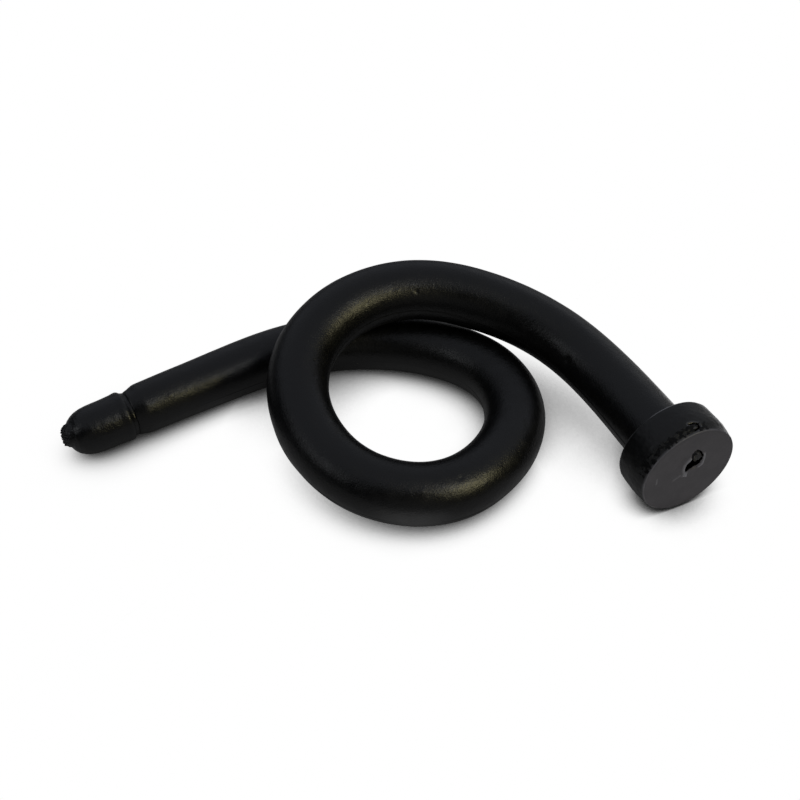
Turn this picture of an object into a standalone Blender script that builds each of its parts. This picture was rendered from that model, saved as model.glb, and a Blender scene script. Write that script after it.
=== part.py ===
"""Long woven vibration dampener for a racket: a gel-filled elastomer tube with a disc-shaped
button on one end and a grooved bulb on the other, lying on a table in one open loop.

The real tube bends anywhere along its length. Here it bends at three upright hinges, so the tube
and its gel core are each divided into four stretches, which meet at ball-shaped ends centred on
the hinges. Lengths are in millimetres until a vertex is written. +Z is up, and the object stands
on Z = 0.
"""
import math

import bpy
from mathutils import Matrix, Vector

METRES = 0.001

# The middle line of the tube is a cubic B-spline through the pull of these points, from the
# button's back face, over the top of the loop, round its front and under itself to the bulb.
ROUTE = [
    (31.5, -8.0, 6.3),
    (26.5, 2.5, 6.5),
    (21.0, 9.0, 8.0),
    (13.0, 13.0, 10.0),
    (3.5, 14.5, 11.5),
    (-5.5, 11.0, 11.2),
    (-11.0, 3.5, 9.3),
    (-10.5, -5.0, 6.8),
    (-4.5, -13.0, 4.8),
    (5.0, -15.0, 4.0),
    (12.0, -10.5, 3.6),
    (16.5, -1.5, 3.6),
    (13.5, 7.5, 3.8),
    (5.0, 12.0, 3.7),
    (-4.0, 13.0, 3.6),
    (-13.0, 11.0, 3.6),
    (-22.0, 5.5, 3.4),
    (-31.5, -0.5, 3.2),
]
STEPS_PER_SPAN = 40

# Outer radius of the tube at distances along it: flared to the button, slimmer towards the bulb.
TUBE_RADII = [(0.0, 3.85), (16.0, 3.68), (104.0, 3.62), (134.0, 3.50), (160.0, 3.05)]
WALL = 1.2
CLEARANCE = 0.3

# Half the distance between the two points that give the tube's direction at a place.
DIRECTION_STEP = 0.4

# Hinges that stand in for the flexing, as distances along the tube.
HINGE_PLACES = {"arm_bend": 28.0, "loop_bend": 82.0, "tail_bend": 128.0}
BALL_RADIUS = 5.0
BALL_SEARCH = 9.0
HALVINGS = 30
EMPTY_SIZE = 4.0

TUBE_SIDES = 32
GEL_SIDES = 20
RING_SPACING = 2.6
FEWEST_RINGS = 3
TURNED_SIDES = 56

# The button's wall as (distance from its back, radius): a rounded back edge, a slight barrel
# and a chamfer that ends at the face.
BUTTON_WALL = [
    (0.0, 5.75),
    (0.12, 5.97),
    (0.35, 6.1),
    (1.2, 6.12),
    (2.3, 6.19),
    (3.3, 6.15),
    (4.2, 6.0),
    (4.8, 5.93),
    (4.9, 5.85),
]
BUTTON_THICKNESS = BUTTON_WALL[-1][0]
SPIGOT_LENGTH = 2.5
SEAT_RADIUS = 4.15
FILL_HOLE_RADIUS = 0.9
SEAL_INSET = 0.5

# The plug outside the tube as (distance from its shoulder, radius): the groove, the lip and
# the bulb's slow taper. A rounded nose and the moulding nub follow.
BULB_BODY = [
    (0.0, 2.6),
    (0.45, 2.6),
    (0.6, 2.93),
    (0.9, 3.05),
    (1.6, 3.03),
    (3.5, 2.93),
]
BULB_LENGTH = 7.4
NOSE_RADIUS = 2.4
NOSE_OFFSET = 0.4
NOSE_FROM = 10.0
NOSE_TO = 72.0
NOSE_STEPS = 6
NUB = [(7.4, 0.9), (7.9, 0.7), (8.1, 0.0)]
TAIL_SPIGOT_LENGTH = 3.0

# Each finish is a colour and a roughness.
RUBBER = ((0.012, 0.012, 0.014), 0.42)
MOULDED_RUBBER = ((0.012, 0.012, 0.014), 0.45)
FACE_RUBBER = ((0.030, 0.028, 0.029), 0.45)
GEL = ((0.55, 0.62, 0.60), 0.30)


def clear_scene():
    for item in list(bpy.data.objects):
        bpy.data.objects.remove(item, do_unlink=True)


def spline_point(position):
    """Point of the uniform cubic B-spline, with position counted in route points."""
    first = 2 * Vector(ROUTE[0]) - Vector(ROUTE[1])
    last = 2 * Vector(ROUTE[-1]) - Vector(ROUTE[-2])
    pull = [first] + [Vector(point) for point in ROUTE] + [last]
    span = min(max(int(position), 0), len(ROUTE) - 2)
    t = position - span
    weights = (
        (1 - t) ** 3,
        3 * t**3 - 6 * t**2 + 4,
        -3 * t**3 + 3 * t**2 + 3 * t + 1,
        t**3,
    )
    total = Vector((0.0, 0.0, 0.0))
    for weight, point in zip(weights, pull[span:span + 4]):
        total += weight * point
    return total / 6


def measure_centreline():
    """Points along the spline, each with its distance from the button's end."""
    count = (len(ROUTE) - 1) * STEPS_PER_SPAN
    points = [spline_point(i / STEPS_PER_SPAN) for i in range(count + 1)]
    distances = [0.0]
    for before, after in zip(points, points[1:]):
        distances.append(distances[-1] + (after - before).length)
    return points, distances


POINTS, DISTANCES = measure_centreline()
TUBE_LENGTH = DISTANCES[-1]


def centre(distance):
    """Point of the middle line; beyond either end it carries straight on."""
    if distance <= 0:
        return POINTS[0] + (POINTS[1] - POINTS[0]).normalized() * distance
    if distance >= TUBE_LENGTH:
        beyond = distance - TUBE_LENGTH
        return POINTS[-1] + (POINTS[-1] - POINTS[-2]).normalized() * beyond
    low, high = 0, len(DISTANCES) - 1
    while high - low > 1:
        middle = (low + high) // 2
        if DISTANCES[middle] <= distance:
            low = middle
        else:
            high = middle
    share = (distance - DISTANCES[low]) / (DISTANCES[high] - DISTANCES[low])
    return POINTS[low].lerp(POINTS[high], share)


def directions(distance):
    """Unit vectors along the tube, level across it, and up across it."""
    along = (centre(distance + DIRECTION_STEP) - centre(distance - DIRECTION_STEP)).normalized()
    across = along.cross(Vector((0, 0, 1))).normalized()
    return along, across, across.cross(along)


def tube_radius(distance):
    """Outer radius, running smoothly between the stations of TUBE_RADII."""
    if distance <= TUBE_RADII[0][0]:
        return TUBE_RADII[0][1]
    for (start, first), (end, second) in zip(TUBE_RADII, TUBE_RADII[1:]):
        if distance <= end:
            share = (distance - start) / (end - start)
            share = share * share * (3 - 2 * share)
            return first + (second - first) * share
    return TUBE_RADII[-1][1]


def surface_point(distance, radius, angle):
    along, across, up = directions(distance)
    return centre(distance) + radius * (math.cos(angle) * across + math.sin(angle) * up)


class BallEnd:
    """An end of a stretch that lies on a ball round a hinge. The side is +1 where the ball's
    far half, further along the tube than the hinge, cuts the stretch, and -1 for the near half."""

    def __init__(self, hinge, radius, side):
        self.place = HINGE_PLACES[hinge]
        self.middle = centre(self.place)
        self.radius = radius
        self.side = side

    def distance(self, radius_at, angle):
        inside, outside = 0.0, BALL_SEARCH
        for _ in range(HALVINGS):
            reach = (inside + outside) / 2
            along = self.place + self.side * reach
            point = surface_point(along, radius_at(along), angle)
            if (point - self.middle).length < self.radius:
                inside = reach
            else:
                outside = reach
        return self.place + self.side * inside


class FlatEnd:
    """An end of a stretch that is square to the tube."""

    def __init__(self, place):
        self.place = place

    def distance(self, radius_at, angle):
        return self.place


def ring(end_a, end_b, share, radius_at, sides):
    """One ring of points, at a share of the way from one end of the stretch to the other."""
    points = []
    for side in range(sides):
        angle = 2 * math.pi * side / sides
        start = end_a.distance(radius_at, angle)
        finish = end_b.distance(radius_at, angle)
        along = start + (finish - start) * share
        points.append(surface_point(along, radius_at(along), angle))
    return points


def shell_loop(end_a, end_b, outer, inner, sides):
    """Rings of a tube stretch's whole skin: out along the outside, and back along the bore."""
    middle = lambda distance: (outer(distance) + inner(distance)) / 2
    length = end_b.distance(outer, 0.0) - end_a.distance(outer, 0.0)
    count = max(FEWEST_RINGS, round(length / RING_SPACING))
    rings = [ring(end_a, end_b, i / count, outer, sides) for i in range(count + 1)]
    rings.append(ring(end_a, end_b, 1.0, middle, sides))
    rings += [ring(end_a, end_b, i / count, inner, sides) for i in range(count, -1, -1)]
    rings.append(ring(end_a, end_b, 0.0, middle, sides))
    return rings


def core_rings(end_a, end_b, outer, sides):
    """Rings of a solid core, from near the middle of one end face to the middle of the other."""
    length = end_b.distance(outer, 0.0) - end_a.distance(outer, 0.0)
    count = max(FEWEST_RINGS, round(length / RING_SPACING))
    half = lambda distance: outer(distance) / 2
    rings = [ring(end_a, end_b, 0.0, half, sides)]
    rings += [ring(end_a, end_b, i / count, outer, sides) for i in range(count + 1)]
    rings.append(ring(end_a, end_b, 1.0, half, sides))
    return rings


def quads_between(first, second, sides):
    faces = []
    for side in range(sides):
        beside = (side + 1) % sides
        faces.append((first + side, second + side, second + beside, first + beside))
    return faces


def make_material(name, finish):
    colour, roughness = finish
    material = bpy.data.materials.new(name)
    material.use_nodes = True
    shader = material.node_tree.nodes["Principled BSDF"]
    shader.inputs["Base Color"].default_value = (*colour, 1.0)
    shader.inputs["Roughness"].default_value = roughness
    shader.inputs["Metallic"].default_value = 0.0
    return material


def add_object(name, parent, points, faces, finish):
    """Makes the object with its origin on its parent empty, facing outwards."""
    origin = parent.location / METRES
    mesh = bpy.data.meshes.new(name)
    mesh.from_pydata([(point - origin) * METRES for point in points], [], faces)
    mesh.update()
    mesh.materials.append(make_material(name, finish))
    for face in mesh.polygons:
        face.use_smooth = True
    piece = bpy.data.objects.new(name, mesh)
    piece.parent = parent
    bpy.context.scene.collection.objects.link(piece)
    return piece


def add_tube(name, parent, end_a, end_b):
    inner = lambda distance: tube_radius(distance) - WALL
    rings = shell_loop(end_a, end_b, tube_radius, inner, TUBE_SIDES)
    points = [point for loop in rings for point in loop]
    faces = []
    for index in range(len(rings)):
        following = (index + 1) % len(rings)
        faces += quads_between(index * TUBE_SIDES, following * TUBE_SIDES, TUBE_SIDES)
    return add_object(name, parent, points, faces, RUBBER)


def add_gel(name, parent, end_a, end_b):
    outer = lambda distance: tube_radius(distance) - WALL - CLEARANCE
    rings = core_rings(end_a, end_b, outer, GEL_SIDES)
    points = [point for loop in rings for point in loop]
    faces = []
    for index in range(len(rings) - 1):
        faces += quads_between(index * GEL_SIDES, (index + 1) * GEL_SIDES, GEL_SIDES)
    nothing = lambda distance: 0.0
    first_middle = len(points)
    points.append(surface_point(end_a.distance(nothing, 0.0), 0.0, 0.0))
    points.append(surface_point(end_b.distance(nothing, 0.0), 0.0, 0.0))
    last_ring = (len(rings) - 1) * GEL_SIDES
    for side in range(GEL_SIDES):
        beside = (side + 1) % GEL_SIDES
        faces.append((first_middle, side, beside))
        faces.append((first_middle + 1, last_ring + beside, last_ring + side))
    return add_object(name, parent, points, faces, GEL)


def arc(middle, radius, start, end, steps):
    """Profile points (along, out) on part of a circle; angles in degrees from straight out."""
    points = []
    for step in range(steps + 1):
        angle = math.radians(start + (end - start) * step / steps)
        points.append((middle[0] + radius * math.sin(angle), middle[1] + radius * math.cos(angle)))
    return points


def add_turned(name, parent, place, outwards, profile, closed, finish):
    """Turns a profile of (along, out) points about the middle line at one end of the tube.
    An open profile starts and ends on the axis, and a closed one goes round a bore."""
    along, across, up = directions(place)
    along = along * outwards
    base = centre(place)
    points = []
    faces = []
    starts = []
    for step, out in profile:
        starts.append(len(points))
        if out == 0:
            points.append(base + along * step)
            continue
        for side in range(TURNED_SIDES):
            angle = 2 * math.pi * side / TURNED_SIDES * outwards
            spoke = math.cos(angle) * across + math.sin(angle) * up
            points.append(base + along * step + spoke * out)
    pairs = list(zip(range(len(profile)), range(1, len(profile))))
    if closed:
        pairs.append((len(profile) - 1, 0))
    for before, after in pairs:
        if profile[before][1] == 0:
            for side in range(TURNED_SIDES):
                beside = (side + 1) % TURNED_SIDES
                faces.append((starts[before], starts[after] + side, starts[after] + beside))
        elif profile[after][1] == 0:
            for side in range(TURNED_SIDES):
                beside = (side + 1) % TURNED_SIDES
                faces.append((starts[after], starts[before] + beside, starts[before] + side))
        else:
            faces += quads_between(starts[before], starts[after], TURNED_SIDES)
    return add_object(name, parent, points, faces, finish)


def button_profile():
    """The button's section round the filling hole. Its spigot goes into the tube's bore, and a
    shallow round seat in its back takes the tube's end."""
    spigot_radius = tube_radius(0) - WALL - CLEARANCE
    spigot = [(-SPIGOT_LENGTH, FILL_HOLE_RADIUS), (-SPIGOT_LENGTH, spigot_radius)]
    seat = [(CLEARANCE, spigot_radius), (CLEARANCE, SEAT_RADIUS), (0.0, SEAT_RADIUS)]
    return spigot + seat + BUTTON_WALL + [(BUTTON_THICKNESS, FILL_HOLE_RADIUS)]


def seal_profile():
    """Short round plug in the filling hole, a little below the face."""
    radius = FILL_HOLE_RADIUS - CLEARANCE
    front = BUTTON_THICKNESS - SEAL_INSET
    return [(-SPIGOT_LENGTH, 0), (-SPIGOT_LENGTH, radius), (front, radius), (front, 0)]


def bulb_profile():
    """Spigot, groove, lip and bulb, ending in a rounded nose with a small moulding nub."""
    spigot_radius = tube_radius(TUBE_LENGTH) - WALL - CLEARANCE
    spigot = [(-TAIL_SPIGOT_LENGTH, 0), (-TAIL_SPIGOT_LENGTH, spigot_radius), (CLEARANCE, spigot_radius)]
    body = [(CLEARANCE + step, radius) for step, radius in BULB_BODY]
    nose_middle = (BULB_LENGTH - NOSE_RADIUS, NOSE_OFFSET)
    nose = arc(nose_middle, NOSE_RADIUS, NOSE_FROM, NOSE_TO, NOSE_STEPS)
    return spigot + body + nose + NUB


def make_hinge_empties():
    """An upright hinge for each bend, with the further body's empty under the nearer one's."""
    parents = {"arm_bend": None, "loop_bend": None, "tail_bend": "loop_bend"}
    empties = {}
    for name, place in HINGE_PLACES.items():
        empty = bpy.data.objects.new(name, None)
        empty.empty_display_size = EMPTY_SIZE * METRES
        empty.location = centre(place) * METRES
        bpy.context.scene.collection.objects.link(empty)
        empties[name] = empty
    root = bpy.data.objects.new("upper_turn", None)
    bpy.context.scene.collection.objects.link(root)
    for name, parent in parents.items():
        holder = empties[parent] if parent else root
        empties[name].parent = holder
        empties[name].matrix_parent_inverse = Matrix.Translation(-holder.location)
    empties["upper_turn"] = root
    return empties


def build():
    clear_scene()
    bodies = make_hinge_empties()
    near = lambda hinge: BallEnd(hinge, BALL_RADIUS + CLEARANCE, -1)
    far = lambda hinge: BallEnd(hinge, BALL_RADIUS + CLEARANCE, 1)
    ball = lambda hinge, side: BallEnd(hinge, BALL_RADIUS, side)
    stretches = [
        ("arm", "arm_bend", FlatEnd(0.0), near("arm_bend")),
        ("upper_turn", "upper_turn", ball("arm_bend", -1), ball("loop_bend", 1)),
        ("lower_turn", "loop_bend", far("loop_bend"), near("tail_bend")),
        ("tail", "tail_bend", ball("tail_bend", -1), FlatEnd(TUBE_LENGTH)),
    ]
    for name, body, start, end in stretches:
        add_tube("tube_" + name, bodies[body], start, end)
        gel_from = FlatEnd(SPIGOT_LENGTH + CLEARANCE) if name == "arm" else start
        gel_to = FlatEnd(TUBE_LENGTH - TAIL_SPIGOT_LENGTH - CLEARANCE) if name == "tail" else end
        add_gel("gel_" + name, bodies[body], gel_from, gel_to)
    arm, tail = bodies["arm_bend"], bodies["tail_bend"]
    add_turned("head_button", arm, 0.0, -1, button_profile(), True, MOULDED_RUBBER)
    add_turned("fill_seal", arm, 0.0, -1, seal_profile(), False, FACE_RUBBER)
    add_turned("tail_plug", tail, TUBE_LENGTH, 1, bulb_profile(), False, MOULDED_RUBBER)


build()
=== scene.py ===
"""Looks of a long woven racket vibration dampener: a soft black tube lying in one open loop, with
a disc-shaped button on one end and a grooved bulb on the other.

The tube's skin and its gel core are each one smooth surface, divided at two places into three
pieces. Lengths are in millimetres until a vertex is written. A place on the tube is its distance
from the button and an angle round it: 0 is level on the outer side of the loop, 90 is up and 180
is the loop's inner side.
"""
import math

import bpy
import numpy as np
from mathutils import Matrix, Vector, noise


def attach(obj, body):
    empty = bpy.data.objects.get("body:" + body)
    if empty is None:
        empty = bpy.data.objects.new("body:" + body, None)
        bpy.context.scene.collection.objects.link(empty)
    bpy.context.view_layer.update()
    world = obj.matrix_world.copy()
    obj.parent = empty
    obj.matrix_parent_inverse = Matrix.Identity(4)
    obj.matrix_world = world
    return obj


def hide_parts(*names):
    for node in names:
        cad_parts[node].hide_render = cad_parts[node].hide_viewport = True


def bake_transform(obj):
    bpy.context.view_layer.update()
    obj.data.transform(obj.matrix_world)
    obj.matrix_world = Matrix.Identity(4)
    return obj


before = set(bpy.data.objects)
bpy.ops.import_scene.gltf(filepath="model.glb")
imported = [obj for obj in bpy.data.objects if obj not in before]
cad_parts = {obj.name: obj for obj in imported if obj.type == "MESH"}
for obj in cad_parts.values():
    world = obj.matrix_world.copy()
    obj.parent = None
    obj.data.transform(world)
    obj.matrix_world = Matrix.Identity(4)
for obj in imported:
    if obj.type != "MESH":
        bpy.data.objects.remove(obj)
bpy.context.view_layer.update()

MM = 0.001

# ---------------------------------------------------------------- the route, as in part.py

ROUTE = [
    (31.5, -8.0, 6.3),
    (26.5, 2.5, 6.5),
    (21.0, 9.0, 8.0),
    (13.0, 13.0, 10.0),
    (3.5, 14.5, 11.5),
    (-5.5, 11.0, 11.2),
    (-11.0, 3.5, 9.3),
    (-10.5, -5.0, 6.8),
    (-4.5, -13.0, 4.8),
    (5.0, -15.0, 4.0),
    (12.0, -10.5, 3.6),
    (16.5, -1.5, 3.6),
    (13.5, 7.5, 3.8),
    (5.0, 12.0, 3.7),
    (-4.0, 13.0, 3.6),
    (-13.0, 11.0, 3.6),
    (-22.0, 5.5, 3.4),
    (-31.5, -0.5, 3.2),
]
TUBE_RADII = [(0.0, 3.85), (16.0, 3.68), (104.0, 3.62), (134.0, 3.50), (160.0, 3.05)]
WALL = 1.2
GEL_GAP = 0.3
GEL_FROM_BUTTON = 2.8
GEL_FROM_END = 3.3
FINE_STEPS = 60


def measure_route():
    """Points along the cubic B-spline, 60 to a span, each with its distance from the button."""
    pull = np.array(ROUTE)
    pull = np.vstack([2 * pull[0] - pull[1], pull, 2 * pull[-1] - pull[-2]])
    spans = len(ROUTE) - 1
    points = []
    for i in range(spans * FINE_STEPS + 1):
        span = min(i // FINE_STEPS, spans - 1)
        t = i / FINE_STEPS - span
        weights = [(1 - t) ** 3, 3 * t**3 - 6 * t**2 + 4, -3 * t**3 + 3 * t**2 + 3 * t + 1, t**3]
        points.append(np.array(weights) @ pull[span:span + 4] / 6)
    points = np.array(points)
    steps = np.linalg.norm(np.diff(points, axis=0), axis=1)
    return points, np.concatenate([[0], np.cumsum(steps)])


ROUTE_POINTS, ROUTE_DISTANCES = measure_route()
TUBE_LENGTH = float(ROUTE_DISTANCES[-1])


def centre(distances):
    """Points of the middle line; beyond either end it carries straight on."""
    s = np.asarray(distances, float)
    inside = np.clip(s, 0, TUBE_LENGTH)
    points = np.stack([np.interp(inside, ROUTE_DISTANCES, ROUTE_POINTS[:, k]) for k in range(3)], -1)
    first = ROUTE_POINTS[1] - ROUTE_POINTS[0]
    last = ROUTE_POINTS[-1] - ROUTE_POINTS[-2]
    points += np.minimum(s, 0)[..., None] * first / np.linalg.norm(first)
    points += np.maximum(s - TUBE_LENGTH, 0)[..., None] * last / np.linalg.norm(last)
    return points


def directions(distances):
    """Unit vectors along the tube, level across it, and up across it."""
    s = np.asarray(distances, float)
    along = centre(s + 0.4) - centre(s - 0.4)
    along /= np.linalg.norm(along, axis=-1, keepdims=True)
    across = np.cross(along, [0.0, 0.0, 1.0])
    across /= np.linalg.norm(across, axis=-1, keepdims=True)
    return along, across, np.cross(across, along)


def tube_radius(distances):
    """Outer radius, running smoothly between the stations of TUBE_RADII."""
    s = np.asarray(distances, float)
    places = np.array([place for place, _ in TUBE_RADII])
    radii = np.array([radius for _, radius in TUBE_RADII])
    index = np.clip(np.searchsorted(places, s, side="right") - 1, 0, len(places) - 2)
    share = np.clip((s - places[index]) / (places[index + 1] - places[index]), 0, 1)
    share = share * share * (3 - 2 * share)
    return radii[index] + (radii[index + 1] - radii[index]) * share


# ---------------------------------------------------------------- small helpers

def smooth(low, high, value):
    """0 below low, 1 above high, and an even curve between."""
    t = np.clip((value - low) / (high - low), 0, 1)
    return t * t * (3 - 2 * t)


def noise_at(points, scale, seed=0.0):
    """Smooth noise from about -1 to 1 at each point; scale is the size of a lump in mm."""
    flat = np.asarray(points, float).reshape(-1, 3) / scale + seed
    values = [noise.noise(Vector(p)) for p in flat]
    return np.array(values).reshape(np.shape(points)[:-1])


def angle_apart(a, b):
    return np.abs((np.asarray(a) - b + 180) % 360 - 180)


def new_piece(name, points, faces, material):
    """A mesh object from points in mm, smooth shaded, that keeps its rest position for materials."""
    mesh = bpy.data.meshes.new(name)
    flat = np.asarray(points, float).reshape(-1, 3)
    mesh.from_pydata((flat * MM).tolist(), [], faces)
    mesh.update()
    mesh.polygons.foreach_set("use_smooth", [True] * len(mesh.polygons))
    mesh.materials.append(material)
    place = mesh.attributes.new("rest", "FLOAT_VECTOR", "POINT")
    place.data.foreach_set("vector", flat.ravel())
    piece = bpy.data.objects.new(name, mesh)
    bpy.context.scene.collection.objects.link(piece)
    return piece


def set_number(piece, name, values):
    """Stores one number per vertex for the materials to read."""
    store = piece.data.attributes.new(name, "FLOAT", "POINT")
    store.data.foreach_set("value", np.asarray(values, float).ravel())


def ring_quads(first, second, sides):
    """Quads between two rings of vertices, facing away from the middle line."""
    beside = [(i + 1) % sides for i in range(sides)]
    return [(first + i, second + i, second + beside[i], first + beside[i]) for i in range(sides)]


# ---------------------------------------------------------------- materials

class Nodes:
    """Short ways to add shader nodes to one material."""

    def __init__(self, name):
        self.material = bpy.data.materials.new(name)
        self.material.use_nodes = True
        self.tree = self.material.node_tree
        self.shader = self.tree.nodes["Principled BSDF"]
        rest = self.add("ShaderNodeAttribute")
        rest.attribute_name = "rest"
        self.rest = rest.outputs["Vector"]

    def add(self, kind, **inputs):
        node = self.tree.nodes.new(kind)
        for key, value in inputs.items():
            self.put(node.inputs[key.replace("_", " ")], value)
        return node

    def put(self, socket, value):
        if isinstance(value, bpy.types.NodeSocket):
            self.tree.links.new(value, socket)
        else:
            socket.default_value = value

    def number(self, name):
        node = self.add("ShaderNodeAttribute")
        node.attribute_name = name
        return node.outputs["Fac"]

    def noise(self, scale, detail=3.0, rough=0.5, stretch=None):
        """Noise with lumps of about 1/scale mm, from the rest position."""
        where = self.rest
        if stretch:
            mapping = self.add("ShaderNodeMapping", Vector=where, Scale=stretch)
            where = mapping.outputs["Vector"]
        node = self.add("ShaderNodeTexNoise", Vector=where, Scale=scale, Detail=detail, Roughness=rough)
        return node.outputs["Fac"]

    def cells(self, scale):
        node = self.add("ShaderNodeTexVoronoi", Vector=self.rest, Scale=scale)
        return node.outputs["Distance"]

    def span(self, value, low, high, to_low, to_high):
        node = self.tree.nodes.new("ShaderNodeMapRange")
        for index, item in enumerate((value, low, high, to_low, to_high)):
            self.put(node.inputs[index], item)
        return node.outputs[0]

    def math(self, operation, a, b):
        node = self.tree.nodes.new("ShaderNodeMath")
        node.operation = operation
        self.put(node.inputs[0], a)
        self.put(node.inputs[1], b)
        return node.outputs[0]

    def mix(self, share, a, b):
        node = self.tree.nodes.new("ShaderNodeMix")
        node.data_type = "RGBA"
        self.put(node.inputs[0], share)
        self.put(node.inputs[6], a)
        self.put(node.inputs[7], b)
        return node.outputs[2]

    def bump(self, height, strength, distance, normal=None):
        node = self.add("ShaderNodeBump", Height=height, Strength=strength, Distance=distance * MM)
        if normal:
            self.put(node.inputs["Normal"], normal)
        return node.outputs["Normal"]

    def finish(self, colour, roughness, normal, specular, **others):
        self.put(self.shader.inputs["Base Color"], colour)
        self.put(self.shader.inputs["Roughness"], roughness)
        self.put(self.shader.inputs["Normal"], normal)
        self.shader.inputs["Specular IOR Level"].default_value = specular
        for key, value in others.items():
            self.shader.inputs[key.replace("_", " ")].default_value = value
        return self.material


def black_rubber(name, dark, light, specular, rough_low, rough_high):
    """Satin black elastomer: cloudy tone, fine grain, faint handling marks and a little dust."""
    n = Nodes(name)
    clouds = n.noise(0.16, 4.0, 0.55)
    grain = n.noise(5.0, 3.0, 0.6)
    marks = n.noise(1.1, 4.0, 0.7)
    colour = n.mix(n.span(clouds, 0.35, 0.65, 0.0, 1.0), (*dark, 1), (*light, 1))
    grit = n.span(n.cells(1.5), 0.02, 0.07, 1.0, 0.0)
    dust = n.math("MULTIPLY", grit, n.span(marks, 0.52, 0.62, 0.0, 1.0))
    colour = n.mix(n.math("MULTIPLY", dust, 0.5), colour, (0.10, 0.10, 0.105, 1))
    # Towards dark grey where the number for wear and highlight is high: wear, and on the bulb's lip a
    # painted highlight.
    wear_and_highlight = n.number("wear_and_highlight")
    colour = n.mix(n.math("MULTIPLY", wear_and_highlight, 0.6), colour, (0.035, 0.035, 0.037, 1))
    rough = n.span(n.noise(0.7, 5.0, 0.7), 0.3, 0.7, rough_low, rough_high)
    rough = n.math("ADD", rough, n.math("MULTIPLY", wear_and_highlight, 0.12))
    normal = n.bump(grain, 0.7, 0.04)
    normal = n.bump(marks, 0.5, 0.10, normal)
    return n.finish(colour, rough, normal, specular)


def face_rubber(name, dark, light, specular, rough_low, rough_high):
    """Matte brownish-grey elastomer of the button: a fine scuffed grain on the face, and darker
    satin rubber with speckles on the wall, as the vertex number "face" says. Where the number for
    wear and highlight is high it is near white: scuffs, and painted highlights on the back edge and
    the hole's rims. Where the number for deep shade is high it is near black, painted shade in the
    hole, and where "speckled" is high it is pitted."""
    n = Nodes(name)
    clouds = n.noise(0.35, 4.0, 0.6)
    grain = n.noise(7.0, 4.0, 0.65)
    scuffs = n.noise(1.6, 5.0, 0.7, (1.0, 1.0, 3.0))
    face = n.number("face")
    matte = n.mix(n.span(clouds, 0.3, 0.7, 0.0, 1.0), (0.232, 0.216, 0.223, 1), (0.305, 0.284, 0.294, 1))
    matte = n.mix(n.span(scuffs, 0.56, 0.75, 0.0, 0.35), matte, (0.36, 0.345, 0.353, 1))
    wall = n.mix(n.span(clouds, 0.35, 0.65, 0.0, 1.0), (*dark, 1), (*light, 1))
    speckle = n.math("MULTIPLY", n.span(n.cells(2.6), 0.12, 0.2, 1.0, 0.0), n.number("speckled"))
    wall = n.mix(n.math("MULTIPLY", speckle, 0.7), wall, (0.022, 0.022, 0.023, 1))
    colour = n.mix(face, wall, matte)
    # Near white for scuffs, and as painted highlights on the back edge and the hole's rims.
    wear_and_highlight = n.number("wear_and_highlight")
    colour = n.mix(n.math("MULTIPLY", wear_and_highlight, 0.95), colour, (0.80, 0.78, 0.79, 1))
    # Near black as painted shade deep in the hole and in the nick's groove.
    painted_deep_shade = n.number("painted_deep_shade")
    colour = n.mix(painted_deep_shade, colour, (0.002, 0.002, 0.002, 1))
    rough = n.span(clouds, 0.3, 0.7, rough_low, rough_high)
    rough = n.math("ADD", rough, n.math("MULTIPLY", face, 0.12))
    rough = n.math("ADD", rough, n.math("MULTIPLY", n.number("speckled"), 0.10))
    normal = n.bump(grain, 0.4, 0.02)
    normal = n.bump(scuffs, 0.3, 0.04, normal)
    pits = n.math("MULTIPLY", n.noise(3.2, 4.0, 0.7), n.number("speckled"))
    normal = n.bump(pits, 1.0, 0.10, normal)
    return n.finish(colour, rough, normal, specular)


def hole_shade_material(name):
    """Painted shade: near-black rubber without shine, for the inside of the torn hole and the nick's
    groove.
    """
    n = Nodes(name)
    clouds = n.noise(1.2, 3.0, 0.5)
    colour = n.mix(clouds, (0.0004, 0.0004, 0.0004, 1), (0.0012, 0.0011, 0.0011, 1))
    rough = n.span(clouds, 0.3, 0.7, 0.8, 0.95)
    return n.finish(colour, rough, n.bump(clouds, 0.3, 0.05), 0.0)


def gel_material(name):
    """Soft cloudy gel with small bubbles."""
    n = Nodes(name)
    clouds = n.noise(0.5, 3.0, 0.5)
    bubbles = n.span(n.cells(1.2), 0.05, 0.18, 1.0, 0.0)
    colour = n.mix(clouds, (0.50, 0.58, 0.56, 1), (0.62, 0.68, 0.66, 1))
    colour = n.mix(n.math("MULTIPLY", bubbles, 0.5), colour, (0.80, 0.84, 0.83, 1))
    rough = n.span(clouds, 0.3, 0.7, 0.25, 0.38)
    return n.finish(colour, rough, n.bump(bubbles, 0.3, 0.05), 0.5, Transmission_Weight=0.3)


DARK = (0.0022, 0.0022, 0.0024)
LIGHT = (0.0036, 0.0036, 0.0038)
TUBE_SKIN = black_rubber("tube_rubber", DARK, LIGHT, 0.5, 0.27, 0.42)
BULB_SKIN = black_rubber("bulb_rubber", DARK, LIGHT, 0.5, 0.24, 0.38)
BUTTON_SKIN = face_rubber("button_rubber", DARK, LIGHT, 0.5, 0.36, 0.46)
SEAL_SKIN = black_rubber("seal_rubber", (0.10, 0.095, 0.097), (0.26, 0.25, 0.255), 0.5, 0.45, 0.6)
GEL_SKIN = gel_material("damping_gel")
HOLE_SHADE_SKIN = hole_shade_material("hole_painted_shade")
DULL_SKIN = black_rubber("dull_rubber", DARK, LIGHT, 0.2, 0.40, 0.55)

# ---------------------------------------------------------------- the tube's skin

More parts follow.
